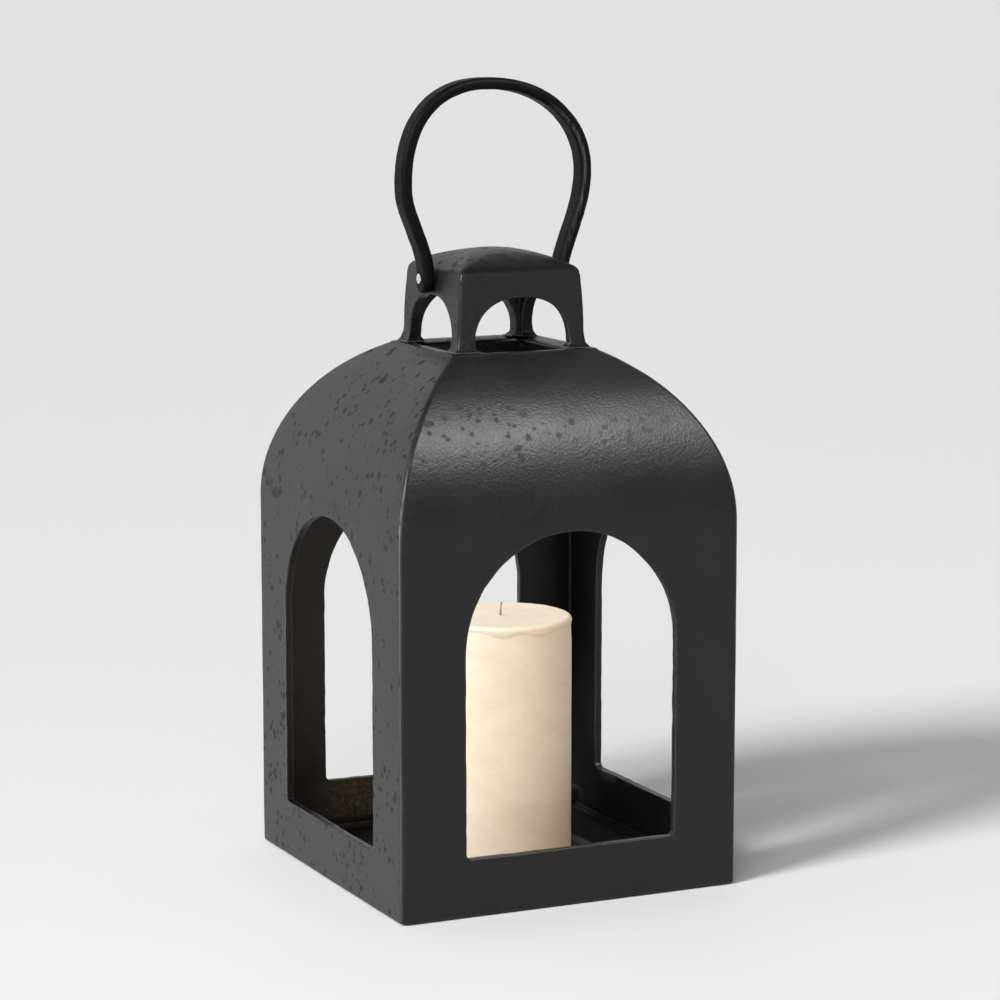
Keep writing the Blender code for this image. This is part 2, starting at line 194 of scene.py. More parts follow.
class Look:
    """One procedural material, built from the object's own coordinates in metres."""

    def __init__(self, name):
        self.material, self.nodes, self.links, self.shader = new_material(name)
        self.place = self.nodes.new("ShaderNodeTexCoord").outputs["Object"]
        self.height = None

    def plug(self, value, socket):
        """Gives a socket a number, a colour or another node's output."""
        if isinstance(value, bpy.types.NodeSocket):
            self.links.new(value, socket)
        elif isinstance(value, tuple) and socket.type == "RGBA":
            socket.default_value = (*value, 1.0)
        else:
            socket.default_value = value

    def set(self, **values):
        for name, value in values.items():
            self.plug(value, self.shader.inputs[name.replace("_", " ")])

    def axes(self, output="Object"):
        node = self.nodes.new("ShaderNodeSeparateXYZ")
        self.links.new(self.place.node.outputs[output], node.inputs[0])
        return node.outputs

    def noise(self, size, detail=3.0, rough=0.55, stretch=None):
        """Noise whose features are about size millimetres across."""
        node = self.nodes.new("ShaderNodeTexNoise")
        node.inputs["Scale"].default_value = 1000.0 / size
        node.inputs["Detail"].default_value = detail
        node.inputs["Roughness"].default_value = rough
        source = self.place
        if stretch:
            mapping = self.nodes.new("ShaderNodeMapping")
            mapping.inputs["Scale"].default_value = stretch
            self.links.new(self.place, mapping.inputs["Vector"])
            source = mapping.outputs["Vector"]
        self.links.new(source, node.inputs["Vector"])
        return node.outputs["Fac"]

    def cells(self, size, warp, warp_size):
        """Distance to the nearest of points about size millimetres apart, with wavy outlines."""
        wave = self.nodes.new("ShaderNodeTexNoise")
        wave.inputs["Scale"].default_value = 1000.0 / warp_size
        wave.inputs["Detail"].default_value = 2.0
        self.links.new(self.place, wave.inputs["Vector"])
        centred = self.vector("SUBTRACT", wave.outputs["Color"], (0.5, 0.5, 0.5))
        moved = self.vector("SCALE", centred, scale=warp * MM)
        node = self.nodes.new("ShaderNodeTexVoronoi")
        node.inputs["Scale"].default_value = 1000.0 / size
        self.links.new(self.vector("ADD", self.place, moved), node.inputs["Vector"])
        return node.outputs["Distance"]

    def vector(self, operation, a, b=None, scale=None):
        node = self.nodes.new("ShaderNodeVectorMath")
        node.operation = operation
        self.links.new(a, node.inputs[0])
        if b is not None:
            self.plug(b, node.inputs[1])
        if scale is not None:
            self.plug(scale, node.inputs["Scale"])
        return node.outputs["Vector"]

    def math(self, operation, *values):
        node = self.nodes.new("ShaderNodeMath")
        node.operation = operation
        for socket, value in zip(node.inputs, values):
            self.plug(value, socket)
        return node.outputs["Value"]

    def times(self, first, *rest):
        for value in rest:
            first = self.math("MULTIPLY", first, value)
        return first

    def ramp(self, value, low, high, out_low=0.0, out_high=1.0, smooth=True):
        node = self.nodes.new("ShaderNodeMapRange")
        node.interpolation_type = "SMOOTHSTEP" if smooth else "LINEAR"
        node.inputs["From Min"].default_value = low
        node.inputs["From Max"].default_value = high
        node.inputs["To Min"].default_value = out_low
        node.inputs["To Max"].default_value = out_high
        self.links.new(value, node.inputs["Value"])
        return node.outputs["Result"]

    def mix(self, share, a, b):
        node = self.nodes.new("ShaderNodeMix")
        node.data_type = "RGBA"
        self.links.new(share, node.inputs["Factor"])
        for socket, value in zip([s for s in node.inputs if s.type == "RGBA"], (a, b)):
            self.plug(value, socket)
        return next(s for s in node.outputs if s.type == "RGBA")

    def edges(self, radius=0.9):
        """How sharply the surface turns within radius millimetres, from 0 to 1."""
        bevel = self.nodes.new("ShaderNodeBevel")
        bevel.samples = 4
        bevel.inputs["Radius"].default_value = radius * MM
        geometry = self.nodes.new("ShaderNodeNewGeometry")
        node = self.nodes.new("ShaderNodeVectorMath")
        node.operation = "DOT_PRODUCT"
        self.links.new(bevel.outputs["Normal"], node.inputs[0])
        self.links.new(geometry.outputs["Normal"], node.inputs[1])
        return self.ramp(node.outputs["Value"], 0.995, 0.90)

    def add_height(self, value, depth):
        """Adds value times depth millimetres to the surface height."""
        part = self.times(value, depth)
        self.height = part if self.height is None else self.math("ADD", self.height, part)

    def done(self):
        if self.height is not None:
            bump = self.nodes.new("ShaderNodeBump")
            bump.inputs["Distance"].default_value = MM
            bump.inputs["Strength"].default_value = 1.0
            self.links.new(self.height, bump.inputs["Height"])
            self.links.new(bump.outputs["Normal"], self.shader.inputs["Normal"])
        return self.material


COAT = (0.0076, 0.0074, 0.0076)
COAT_BROWN = (1.12, 1.0, 0.86)
# Pale arris colour: partly wear, partly a painted highlight
COAT_WORN_AND_HIGHLIGHT = (0.115, 0.115, 0.117)
# Warm colour of the painted reflection of the candle's light, low on the inside
CANDLE_GLOW_PAINT = (0.120, 0.104, 0.060)


def powder_coat(name):
    """Satin black powder coat over a sand casting.

    It has a grain, dark marks, pale arrises that are partly worn and partly a painted highlight,
    and a painted warm glow of the candle's light low down on the inside. Heights and distances from
    the middle are in metres.
    """
    look = Look(name)
    x, y, z = look.axes()
    aside, deep = look.math("ABSOLUTE", x), look.math("ABSOLUTE", y)
    outward = look.math("MAXIMUM", aside, deep)
    left = look.ramp(look.math("ADD", x, deep), 0.0015, -0.0015)
    left = look.times(left, look.ramp(z, 0.2786, 0.2792, 1.0, 0.5))
    shoulder = look.ramp(z, 0.178, 0.212)
    mark = coat_marks(look, x, left, shoulder)

    grain = look.noise(1.35, 2.0, 0.6)
    swell = look.noise(4.5, 2.0, 0.5)
    cloud = look.noise(26.0, 3.0, 0.55)
    coarse = look.times(shoulder, look.math("SUBTRACT", 1.0, left))
    look.add_height(look.times(grain, look.ramp(coarse, 0.0, 1.0, 0.11, 0.18)), 1.0)
    look.add_height(swell, 0.075)
    look.add_height(mark, -0.05)

    brown = tuple(c * share for c, share in zip(COAT, COAT_BROWN))
    colour = look.mix(look.ramp(swell, 0.35, 0.65), COAT, brown)
    # Painted light: the candle's warm glow reflected low on the inside walls
    colour = look.mix(painted_candle_glow(look, x, z, aside, deep, outward), colour, CANDLE_GLOW_PAINT)
    colour = look.mix(mark, colour, tuple(c * 0.5 for c in COAT))
    # Pale arrises, partly wear and partly a painted highlight, kept faint inside and along the rim
    outside = look.ramp(outward, 0.0870, 0.0900, 0.15, 0.75)
    outside = look.math("MAXIMUM", outside, look.ramp(z, 0.19, 0.21, 0.0, 0.75))
    rim = look.times(look.ramp(z, 0.266, 0.272), look.ramp(z, 0.2792, 0.2786))
    worn_edge_and_highlight = look.times(outside, look.ramp(rim, 0.0, 1.0, 1.0, 0.2), look.edges())
    colour = look.mix(worn_edge_and_highlight, colour, COAT_WORN_AND_HIGHLIGHT)
    tone = look.ramp(cloud, 0.3, 0.7, 0.88, 1.15, smooth=False)
    rough = look.ramp(cloud, 0.3, 0.7, 0.36, 0.42, smooth=False)
    look.set(
        Base_Color=look.vector("SCALE", colour, scale=tone),
        Roughness=look.math("ADD", rough, look.times(mark, 0.42)),
        Specular_IOR_Level=0.32,
    )
    return look.done()


def coat_marks(look, x, left, shoulder):
    """Dark marks: strong on the left, softer on the shoulder and faint below it."""
    big = spots(look, 10.5, look.noise(17.0, 1.0, 0.5), 0.02, 0.29)
    small = spots(look, 5.4, look.noise(15.0, 1.0, 0.5), -0.05, 0.42)
    faint = look.ramp(shoulder, 0.0, 1.0, 0.12, 0.38, smooth=False)
    faint = look.times(faint, look.ramp(x, -0.03, 0.07, 1.0, 0.4))
    return look.times(look.math("MAXIMUM", big, small), look.math("MAXIMUM", left, faint))


def spots(look, spacing, reach, low, high):
    """Rounded marks with wavy outlines, of sizes set by the reach noise."""
    size = look.ramp(reach, 0.32, 0.68, low, high, smooth=False)
    centre = look.cells(spacing, spacing * 0.32, spacing * 0.35)
    return look.ramp(look.math("SUBTRACT", size, centre), -0.05, 0.12)


def painted_candle_glow(look, x, z, aside, deep, outward):
    """Painted reflection of the candle's warm light: a patchy glow between the floor plate's lip
    and the sills, on the left half.
    """
    inside = look.ramp(outward, 0.0925, 0.0915)
    middle = look.ramp(look.math("MINIMUM", aside, deep), 0.075, 0.045)
    low = look.times(look.ramp(z, 0.007, 0.010), look.ramp(z, 0.032, 0.027))
    patchy = look.ramp(look.noise(2.4, 4.0, 0.65), 0.36, 0.66, 0.25, 1.0)
    return look.times(patchy, inside, middle, low, look.ramp(x, 0.02, -0.02))


def strap_skin():
    """Black strap: fine pebbled grain, paler edges where hands have worn it, and a painted
    highlight streak on the right leg.
    """
    look = Look("strap_skin")
    crease = look.noise(5.0, 3.0, 0.6, stretch=(1.0, 0.35, 1.0))
    cloud = look.noise(18.0, 2.0, 0.5)
    look.add_height(look.cells(0.9, 0.5, 0.7), -0.04)
    look.add_height(crease, 0.14)
    colour = look.mix(
        look.ramp(cloud, 0.35, 0.65), (0.0010, 0.0010, 0.0011), (0.0020, 0.0019, 0.0018)
    )
    colour = look.mix(look.times(look.edges(1.4), 0.5), colour, (0.014, 0.0135, 0.013))
    look.set(
        # Painted highlight: a pale streak down the right leg's inner front edge
        Base_Color=look.mix(painted_strap_highlight(look), colour, (0.040, 0.039, 0.037)),
        Roughness=look.ramp(crease, 0.3, 0.7, 0.44, 0.60, smooth=False),
        Specular_IOR_Level=0.09,
    )
    return look.done()


def painted_strap_highlight(look):
    """A painted highlight: a pale streak of fine lines down the inner front edge of the right leg.
    """
    x, _, z = look.axes()
    across, forward, _ = look.axes("Normal")
    return look.times(
        look.ramp(across, -0.72, -0.50),
        look.ramp(across, -0.02, -0.22),
        look.ramp(forward, -0.3, -0.6),
        look.ramp(x, 0.026, 0.040),
        look.ramp(z, 0.322, 0.365, 0.3, 1.0),
        look.ramp(look.noise(1.1, 2.0, 0.6, stretch=(1.0, 1.0, 0.03)), 0.36, 0.56),
    )


def bright_metal(name, colour, rough, scratch=0.12):
    """Polished or plated metal with fine turning marks and handling haze."""
    look = Look(name)
    haze = look.noise(2.2, 3.0, 0.6)
    scratches = look.noise(0.35, 2.0, 0.5, stretch=(1.0, 0.08, 1.0))
    look.add_height(haze, 0.006)
    look.set(
        Base_Color=look.mix(look.ramp(haze, 0.3, 0.7), colour, tuple(c * 0.82 for c in colour)),
        Roughness=look.math("ADD", rough, look.times(scratches, scratch)),
        Metallic=1.0,
    )
    return look.done()


def pad_rubber():
    look = Look("pad_skin")
    grain = look.noise(0.5, 2.0, 0.6)
    look.add_height(grain, 0.05)
    dust = look.ramp(look.noise(6.0, 3.0, 0.6), 0.45, 0.75)
    look.set(
        Base_Color=look.mix(dust, (0.018, 0.018, 0.018), (0.035, 0.034, 0.032)),
        Roughness=look.ramp(grain, 0.3, 0.7, 0.75, 0.92),
    )
    return look.done()


def candle_skin():
    """Cream wax with a frosted bloom, faint mottling and a little light passing through."""
    look = Look("candle_skin")
    bloom = look.noise(16.0, 3.0, 0.6, stretch=(1.0, 1.0, 1.8))
    fleck = look.noise(2.6, 3.0, 0.6)
    frost = look.ramp(look.noise(5.0, 4.0, 0.65), 0.45, 0.72)
    cream, deep, pale = (0.865, 0.775, 0.615), (0.83, 0.715, 0.555), (0.88, 0.80, 0.68)
    colour = look.mix(look.ramp(bloom, 0.3, 0.7), cream, deep)
    look.add_height(bloom, 0.25)
    look.add_height(fleck, 0.05)
    look.set(
        Base_Color=look.mix(look.times(frost, 0.4), colour, pale),
        Roughness=look.ramp(fleck, 0.3, 0.7, 0.42, 0.6),
        Specular_IOR_Level=0.3,
        Subsurface_Weight=0.35,
        Subsurface_Radius=(1.0, 0.55, 0.25),
        Subsurface_Scale=0.008,
    )
    return look.done()


def cotton_skin():
    look = Look("cotton_skin")
    fibre = look.noise(0.4, 3.0, 0.6, stretch=(1.0, 1.0, 0.25))
    look.add_height(fibre, 0.12)
    waxed = look.ramp(look.noise(3.0, 2.0, 0.5), 0.4, 0.6)
    look.set(
        Base_Color=look.mix(waxed, (0.42, 0.40, 0.36), (0.33, 0.29, 0.24)),
        Roughness=look.ramp(fibre, 0.3, 0.7, 0.7, 0.95),
    )
    return look.done()


# ---------------------------------------------------------------- meshes


class Skin:
    """Faces over shared points, so that patches drawn side by side join up."""

    def __init__(self):
        self.points = []
        self.index = {}
        self.faces = []

    def at(self, point):
        key = tuple(round(c, 3) for c in point)
        if key not in self.index:
            self.index[key] = len(self.points)
            self.points.append(point)
        return self.index[key]

    def face(self, *points):
        ring = []
        for point in points:
            corner = self.at(point)
            if corner not in ring:
                ring.append(corner)
        if len(ring) > 2:
            self.faces.append(ring)

    def rows(self, rows, wrap=False):
        for low, high in zip(rows, rows[1:]):
            count = len(low)
            for k in range(count if wrap else count - 1):
                n = (k + 1) % count
                self.face(low[k], low[n], high[n], high[k])

    def four(self):
        """The same surface on all four sides of the axis."""
        points, faces = self.points, self.faces
        whole = Skin()
        for quarter in range(4):
            turned = points
            for _ in range(quarter):
                turned = [(-y, x, z) for x, y, z in turned]
            for face in faces:
                whole.face(*(turned[i] for i in face))
        return whole


def mesh_piece(name, skin, body, material, replaced=(), move=None):
    """One object from a skin in millimetres, riding on a body."""
    mesh = bpy.data.meshes.new(name)
    points = [move(p) for p in skin.points] if move else skin.points
    mesh.from_pydata([(x * MM, y * MM, z * MM) for x, y, z in points], [], skin.faces)
    shape = bmesh.new()
    shape.from_mesh(mesh)
    bmesh.ops.remove_doubles(shape, verts=shape.verts, dist=1e-7)
    bmesh.ops.recalc_face_normals(shape, faces=shape.faces)
    shape.to_mesh(mesh)
    shape.free()
    mesh.shade_smooth()
    obj = bpy.data.objects.new(name, mesh)
    bpy.context.scene.collection.objects.link(obj)
    mesh.materials.append(material)
    if body:
        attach(obj, body)
    if replaced:
        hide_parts(*replaced)
    return obj


def combine(obj, tools):
    """Applies each (operation, skin) to the object's mesh."""
    helpers = []
    for i, (operation, skin) in enumerate(tools):
        helper = mesh_piece(f"helper_{i}", skin, None, obj.data.materials[0])
        helpers.append(helper)
        modifier = obj.modifiers.new(helper.name, "BOOLEAN")
        modifier.operation = operation
        modifier.solver = "EXACT"
        modifier.object = helper
    bake(obj)
    for helper in helpers:
        bpy.data.objects.remove(helper, do_unlink=True)


def bake(obj):
    bpy.context.view_layer.update()
    graph = bpy.context.evaluated_depsgraph_get()
    made = bpy.data.meshes.new_from_object(obj.evaluated_get(graph))
    old = obj.data
    obj.modifiers.clear()
    obj.data = made
    made.name = old.name
    bpy.data.meshes.remove(old)


def crisp(obj, angle=40):
    """Even shading on flats beside rounded edges."""
    obj.data.set_sharp_from_angle(angle=math.radians(angle))
    modifier = obj.modifiers.new("even_normals", "WEIGHTED_NORMAL")
    modifier.keep_sharp = True
    modifier.weight = 80


def loft(rings, closed=False, ends=True):
    skin = Skin()
    skin.rows(rings + rings[:1] if closed else rings, wrap=True)
    if not closed and ends:
        for ring in (rings[0], rings[-1]):
            middle = tuple(sum(p[i] for p in ring) / len(ring) for i in range(3))
            for a, b in zip(ring, ring[1:] + ring[:1]):
                skin.face(a, b, middle)
    return skin


def turned(profile, x=0.0, y=0.0, sides=96):
    angles = [2 * math.pi * k / sides for k in range(sides)]
    return [
        [(x + r * math.cos(a), y + r * math.sin(a), z) for a in angles] for r, z in profile
    ]


def turned_along_x(profile, z, sides=64):
    angles = [2 * math.pi * k / sides for k in range(sides)]
    return [[(x, r * math.cos(a), z + r * math.sin(a)) for a in angles] for r, x in profile]


def square_ring(half, radius, z, steps=6):
    ring = []
    for corner in range(4):
        middle = math.radians(45 + 90 * corner)
        cx = math.copysign(half - radius, math.cos(middle))
        cy = math.copysign(half - radius, math.sin(middle))
        for k in range(steps + 1):
            angle = math.radians(90 * corner + 90 * k / steps)
            ring.append((cx + radius * math.cos(angle), cy + radius * math.sin(angle), z))
    return ring


def even_steps(start, end, count):
    return [start + (end - start) * k / count for k in range(count + 1)]


def side_row(half, radius, z, columns, arc=6):
    """One side of a rounded square, with the corner at its right-hand end."""
    flat = half - radius
    row = [(a, -half, z) for a in even_steps(-flat, flat, columns)]
    for k in range(1, arc + 1):
        angle = math.radians(-90 + 90 * k / arc)
        row.append((flat + radius * math.cos(angle), -flat + radius * math.sin(angle), z))
    return row


def corner_rows(profile, radius, heights, arc=6):
    """A rounded corner between two sides, a row for each height."""
    angles = [math.radians(-90 + 90 * k / arc) for k in range(arc + 1)]
    rows = []
    for z in heights:
        flat = profile(z) - radius
        rows.append(
            [(flat + radius * math.cos(t), -flat + radius * math.sin(t), z) for t in angles]
        )
    return rows


def wall_rows(outline, border, profile, shares):
    """Rows of points on a wall, from the edge of its opening out to its border."""
    rows = []
    for share in shares:
        row = []
        for (a, z), (b, w) in zip(outline, border):
            height = z + (w - z) * share
            row.append((a + (b - a) * share, -profile(height), height))
        rows.append(row)
    return rows


def rounding(radius, steps):
    """(inset, outset) pairs round a quarter circle, from the face into the opening."""
    return [
        (radius * (1 - math.cos(t)), radius * (1 - math.sin(t)))
        for t in even_steps(0, math.pi / 2, steps)
    ]


def wander(point, strength, size, seed):
    """A smooth random offset in millimetres."""
    at = Vector(point) / size + Vector((seed, seed * 0.37, -seed * 0.71))
    return noise.noise_vector(at) * strength


CORNERS = ((1, 1), (-1, 1), (-1, -1), (1, -1))
# Shares of the way out from an opening to its border
SPREAD = [0, 0.03, 0.08, 0.16, 0.28, 0.42, 0.58, 0.74, 0.88, 1.0]

# Body, as in the CAD
BODY_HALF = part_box("body_shell")[1].x / MM
BODY_WALL = 4.2
BODY_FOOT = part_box("body_shell")[0].z / MM
ARRIS_R = 2.5
INNER_ARRIS_R = 1.5
SHOULDER_Z = 192.2
RIM_HALF = 40.5
RIM_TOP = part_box("body_shell")[1].z / MM
RIM_UNDER = 274.9
VENT_HALF = 30.0
WINDOW_HALF = 59.0
SILL_Z = 30.3
SPRING_Z = 134.3
SILL_CORNER_R = 3.0
WINDOW_EDGE_R = 0.9
INNER_EDGE_R = 0.5
LUG_REACH, LUG_TOP = 14.0, 14.0
WALL_Z0, WALL_Z1 = 2.6, 207.0


def body_outer(z):
    return BODY_HALF if z <= SHOULDER_Z else math.sqrt(BODY_HALF**2 - (z - SHOULDER_Z) ** 2)


def body_inner(z):
    inner = BODY_HALF - BODY_WALL
    return inner if z <= SHOULDER_Z else math.sqrt(inner**2 - (z - SHOULDER_Z) ** 2)


def window_parts():
    """The window's edge as four lists of (place, direction into the wall), anticlockwise."""

    def corner(side, start, end, steps):
        cx, cz = side * (WINDOW_HALF - SILL_CORNER_R), SILL_Z + SILL_CORNER_R
        return [
            ((cx + SILL_CORNER_R * math.cos(t), cz + SILL_CORNER_R * math.sin(t)),
             (math.cos(t), math.sin(t)))
            for t in even_steps(math.radians(start), math.radians(end), steps)
        ]

    def arch(start, end, steps):
        return [
            ((WINDOW_HALF * math.cos(t), SPRING_Z + WINDOW_HALF * math.sin(t)),
             (math.cos(t), math.sin(t)))
            for t in even_steps(math.radians(start), math.radians(end), steps)
        ]

    jamb = even_steps(SILL_Z + SILL_CORNER_R, SPRING_Z, 32)[1:-1]
    flat = even_steps(-WINDOW_HALF + SILL_CORNER_R, WINDOW_HALF - SILL_CORNER_R, 36)[1:-1]
    right = corner(1, -45, 0, 3) + [((WINDOW_HALF, z), (1, 0)) for z in jamb] + arch(0, 50, 16)
    top = arch(50, 130, 28)
    left = arch(130, 180, 16) + [((-WINDOW_HALF, z), (-1, 0)) for z in reversed(jamb)]
    left += corner(-1, 180, 225, 3)
    bottom = corner(-1, 225, 270, 3) + [((a, SILL_Z), (0, -1)) for a in flat]
    bottom += corner(1, 270, 315, 3)
    return right, top, left, bottom


def grown(edge, by, floor=None):
    points = [(a + by * na, z + by * nz) for (a, z), (na, nz) in edge]
    return [(a, max(z, floor)) for a, z in points] if floor is not None else points


def build_body(material):
    parts = window_parts()
    edge = [item for part in parts for item in part[:-1]]
    edge.append(edge[0])
    side, top, _, bottom = (len(part) - 1 for part in parts)
    heights = even_steps(WALL_Z0, WALL_Z1, side)
    skin = Skin()
    for profile, radius, fillet in (
        (body_outer, ARRIS_R, WINDOW_EDGE_R), (body_inner, INNER_ARRIS_R, INNER_EDGE_R)
    ):
        w0, w1 = profile(WALL_Z0) - radius, profile(WALL_Z1) - radius
        border = [(profile(z) - radius, z) for z in heights[:-1]]
        border += [(a, WALL_Z1) for a in even_steps(w1, -w1, top)[:-1]]
        border += [(-profile(z) + radius, z) for z in reversed(heights[1:])]
        border += [(a, WALL_Z0) for a in even_steps(-w0, w0, bottom)]
        skin.rows(wall_rows(grown(edge, fillet), border, profile, SPREAD))
        skin.rows(corner_rows(profile, radius, heights))

    passage = []
    for inset, outset in rounding(WINDOW_EDGE_R, 6):
        passage.append([(a, -body_outer(z) + inset, z) for a, z in grown(edge, outset)])
    for inset, outset in reversed(rounding(INNER_EDGE_R, 2)):
        passage.append([(a, -body_inner(z) - inset, z) for a, z in grown(edge, outset)])
    skin.rows(passage)

    rows = []
    start = math.asin((WALL_Z1 - SHOULDER_Z) / BODY_HALF)
    for angle in even_steps(start, math.acos((RIM_HALF + 1.0) / BODY_HALF), 40):
        z = SHOULDER_Z + BODY_HALF * math.sin(angle)
        rows.append((BODY_HALF * math.cos(angle), ARRIS_R, z))
    rim = [(RIM_HALF + 0.65, RIM_TOP - 0.35), (RIM_HALF, RIM_TOP - 0.05), (RIM_HALF - 1.2, RIM_TOP)]
    rim += [(36.0, RIM_TOP - 0.25), (33.0, RIM_TOP - 0.65), (VENT_HALF + 1.6, RIM_TOP - 1.0)]
    rim += [(VENT_HALF + 0.6, RIM_TOP - 1.3), (VENT_HALF + 0.15, RIM_TOP - 1.8)]
    rim += [(VENT_HALF, RIM_TOP - 2.3)]
    rows += [(half, ARRIS_R, z) for half, z in rim]
    inner = BODY_HALF - BODY_WALL
    start = math.asin((WALL_Z1 - SHOULDER_Z) / inner)
    for angle in even_steps(math.asin((RIM_UNDER - SHOULDER_Z) / inner), start, 30):
        z = SHOULDER_Z + inner * math.sin(angle)
        rows.append((inner * math.cos(angle), INNER_ARRIS_R, z))
    skin.rows([side_row(half, radius, z, top) for half, radius, z in rows])

    foot = [
        (BODY_HALF, ARRIS_R, WALL_Z0), (BODY_HALF, ARRIS_R, BODY_FOOT + 0.9),
        (BODY_HALF - 0.25, ARRIS_R, BODY_FOOT + 0.25), (BODY_HALF - 0.9, ARRIS_R, BODY_FOOT),
        (inner + 0.5, INNER_ARRIS_R, BODY_FOOT), (inner, INNER_ARRIS_R, BODY_FOOT + 0.5),
        (inner, INNER_ARRIS_R, WALL_Z0),
    ]
    skin.rows([side_row(half, radius, z, bottom) for half, radius, z in foot])

    def cast(point):
        """Sand-cast: slow waves all over, and uneven edges inside the windows."""
        x, y, z = point
        moved = Vector(point) + wander(point, 0.16, 34.0, 3.1) + wander(point, 0.05, 9.0, 7.7)
        across, out = sorted((abs(x), abs(y)))
        if out > inner - 1.0 and near_window(across, z) < 2.2:
            moved += wander(point, 0.28, 7.0, 12.4)
        return (
            max(-BODY_HALF, min(BODY_HALF, moved.x)),
            max(-BODY_HALF, min(BODY_HALF, moved.y)),
            max(BODY_FOOT, min(RIM_TOP, moved.z)),
        )

    body = mesh_piece(
        "body_casting", skin.four(), "lantern", material,
        ("body_shell",), move=cast,
    )
    lugs = []
    reach, far = inner + 1.0, inner + 1.0 - LUG_REACH
    for sx, sy in CORNERS:
        outline = [(reach, reach), (far, reach), (far, far + 7.5), (far + 2.2, far + 2.2)]
        outline += [(far + 7.5, far), (reach, far)]
        rings = [
            [(sx * (x + e * (x < reach)), sy * (y + e * (y < reach)), z) for x, y in outline]
            for z, e in ((LIP_TOP + 0.3, 0.0), (LUG_TOP - 0.8, 0.0), (LUG_TOP, 0.8))
        ]
        lugs.append(("UNION", loft(rings)))
    for sx, sy in CORNERS:
        for r, low, high, place in (
            (BASE_HOLE_R, 2.0, 13.1, BASE_SCREW_XY), (CAP_HOLE_R, 270.0, 284.0, CAP_SCREW_XY)
        ):
            hole = turned([(r, low), (r, high)], sx * place, sy * place, 32)
            lugs.append(("DIFFERENCE", loft(hole)))
    combine(body, lugs)
    crisp(body)


def near_window(across, z):
    """Distance in the wall's plane from the window's edge."""
    if z > SPRING_Z:
        return abs(math.hypot(across, z - SPRING_Z) - WINDOW_HALF)
    if across > WINDOW_HALF or z < SILL_Z:
        return math.hypot(max(0.0, across - WINDOW_HALF), max(0.0, SILL_Z - z))
    return min(WINDOW_HALF - across, z - SILL_Z)


# Vent cap
CAP_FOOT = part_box("vent_cap")[0].z / MM
CAP_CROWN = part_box("vent_cap")[1].z / MM
CAP_HALF = 36.0
CAP_CORNER_R, CAP_EDGE_R = 2.0, 0.8
CAP_INNER_CORNER_R, CAP_INNER_EDGE_R = 1.3, 0.3
CAP_INSIDE = 29.8
CAP_INSIDE_TOP = 318.2
ARCH_HALF, ARCH_SPRING, ARCH_RISE, ARCH_POWER = 26.7, 282.0, 24.0, 2.3
ARCH_DRAFT = 0.9
ARCH_FLARE = 3.4
CAP_WALL_TOP = 311.5
HINGE_Z, RIVET_HOLE_R = 314.4, 1.8
CAP_PROFILE = [
    (0.0, 2.6), (1.1, 1.5), (3.0, 0.6), (6.2, 0.0), (14.4, -0.3), (24.9, -0.7), (32.9, -1.3),
    (38.1, -1.8), (40.6, -2.6), (42.0, -3.9),
]


def cap_outer(z):
    rises = [rise for rise, _ in CAP_PROFILE]
    offsets = [offset for _, offset in CAP_PROFILE]
    at = z - CAP_FOOT
    slopes = np.gradient(offsets, rises)
    k = min(max(int(np.searchsorted(rises, at)) - 1, 0), len(rises) - 2)
    width = rises[k + 1] - rises[k]
    t = min(max((at - rises[k]) / width, 0.0), 1.0)
    a, b = offsets[k], offsets[k + 1]
    sa, sb = slopes[k] * width, slopes[k + 1] * width
    curve = a + sa * t + (3 * (b - a) - 2 * sa - sb) * t**2 + (2 * (a - b) + sa + sb) * t**3
    return CAP_HALF + curve


def cap_inner(_):
    return CAP_INSIDE


def cap_arch(grow):
    """Right half of the arch from foot to 50 degrees, then its top, as (place, direction)."""
    half, rise = ARCH_HALF + grow, ARCH_RISE + grow
    foot_r = ARCH_SPRING - CAP_FOOT
    flare = []
    for t in even_steps(math.pi / 2, 0, 8)[:-1]:
        place = (half - ARCH_FLARE * (1 - math.cos(t)), ARCH_SPRING - foot_r * math.sin(t))
        n = (foot_r * math.cos(t), -ARCH_FLARE * math.sin(t))
        length = math.hypot(*n)
        flare.append((place, (n[0] / length, n[1] / length)))

    def bow(angle):
        c, s = math.cos(angle), max(0.0, math.sin(angle))
        power = 2 / ARCH_POWER
        place = (math.copysign(half * abs(c) ** power, c), ARCH_SPRING + rise * s**power)
        n = (math.copysign(abs(c) ** (2 - power) / half, c), s ** (2 - power) / rise)
        length = math.hypot(*n)
        return place, (n[0] / length, n[1] / length)

    right = flare + [bow(t) for t in even_steps(0, math.radians(50), 18)]
    top = [bow(t) for t in even_steps(math.radians(50), math.radians(130), 30)]
    left = [((-a, z), (-na, nz)) for (a, z), (na, nz) in reversed(right)]
    return right, top, left


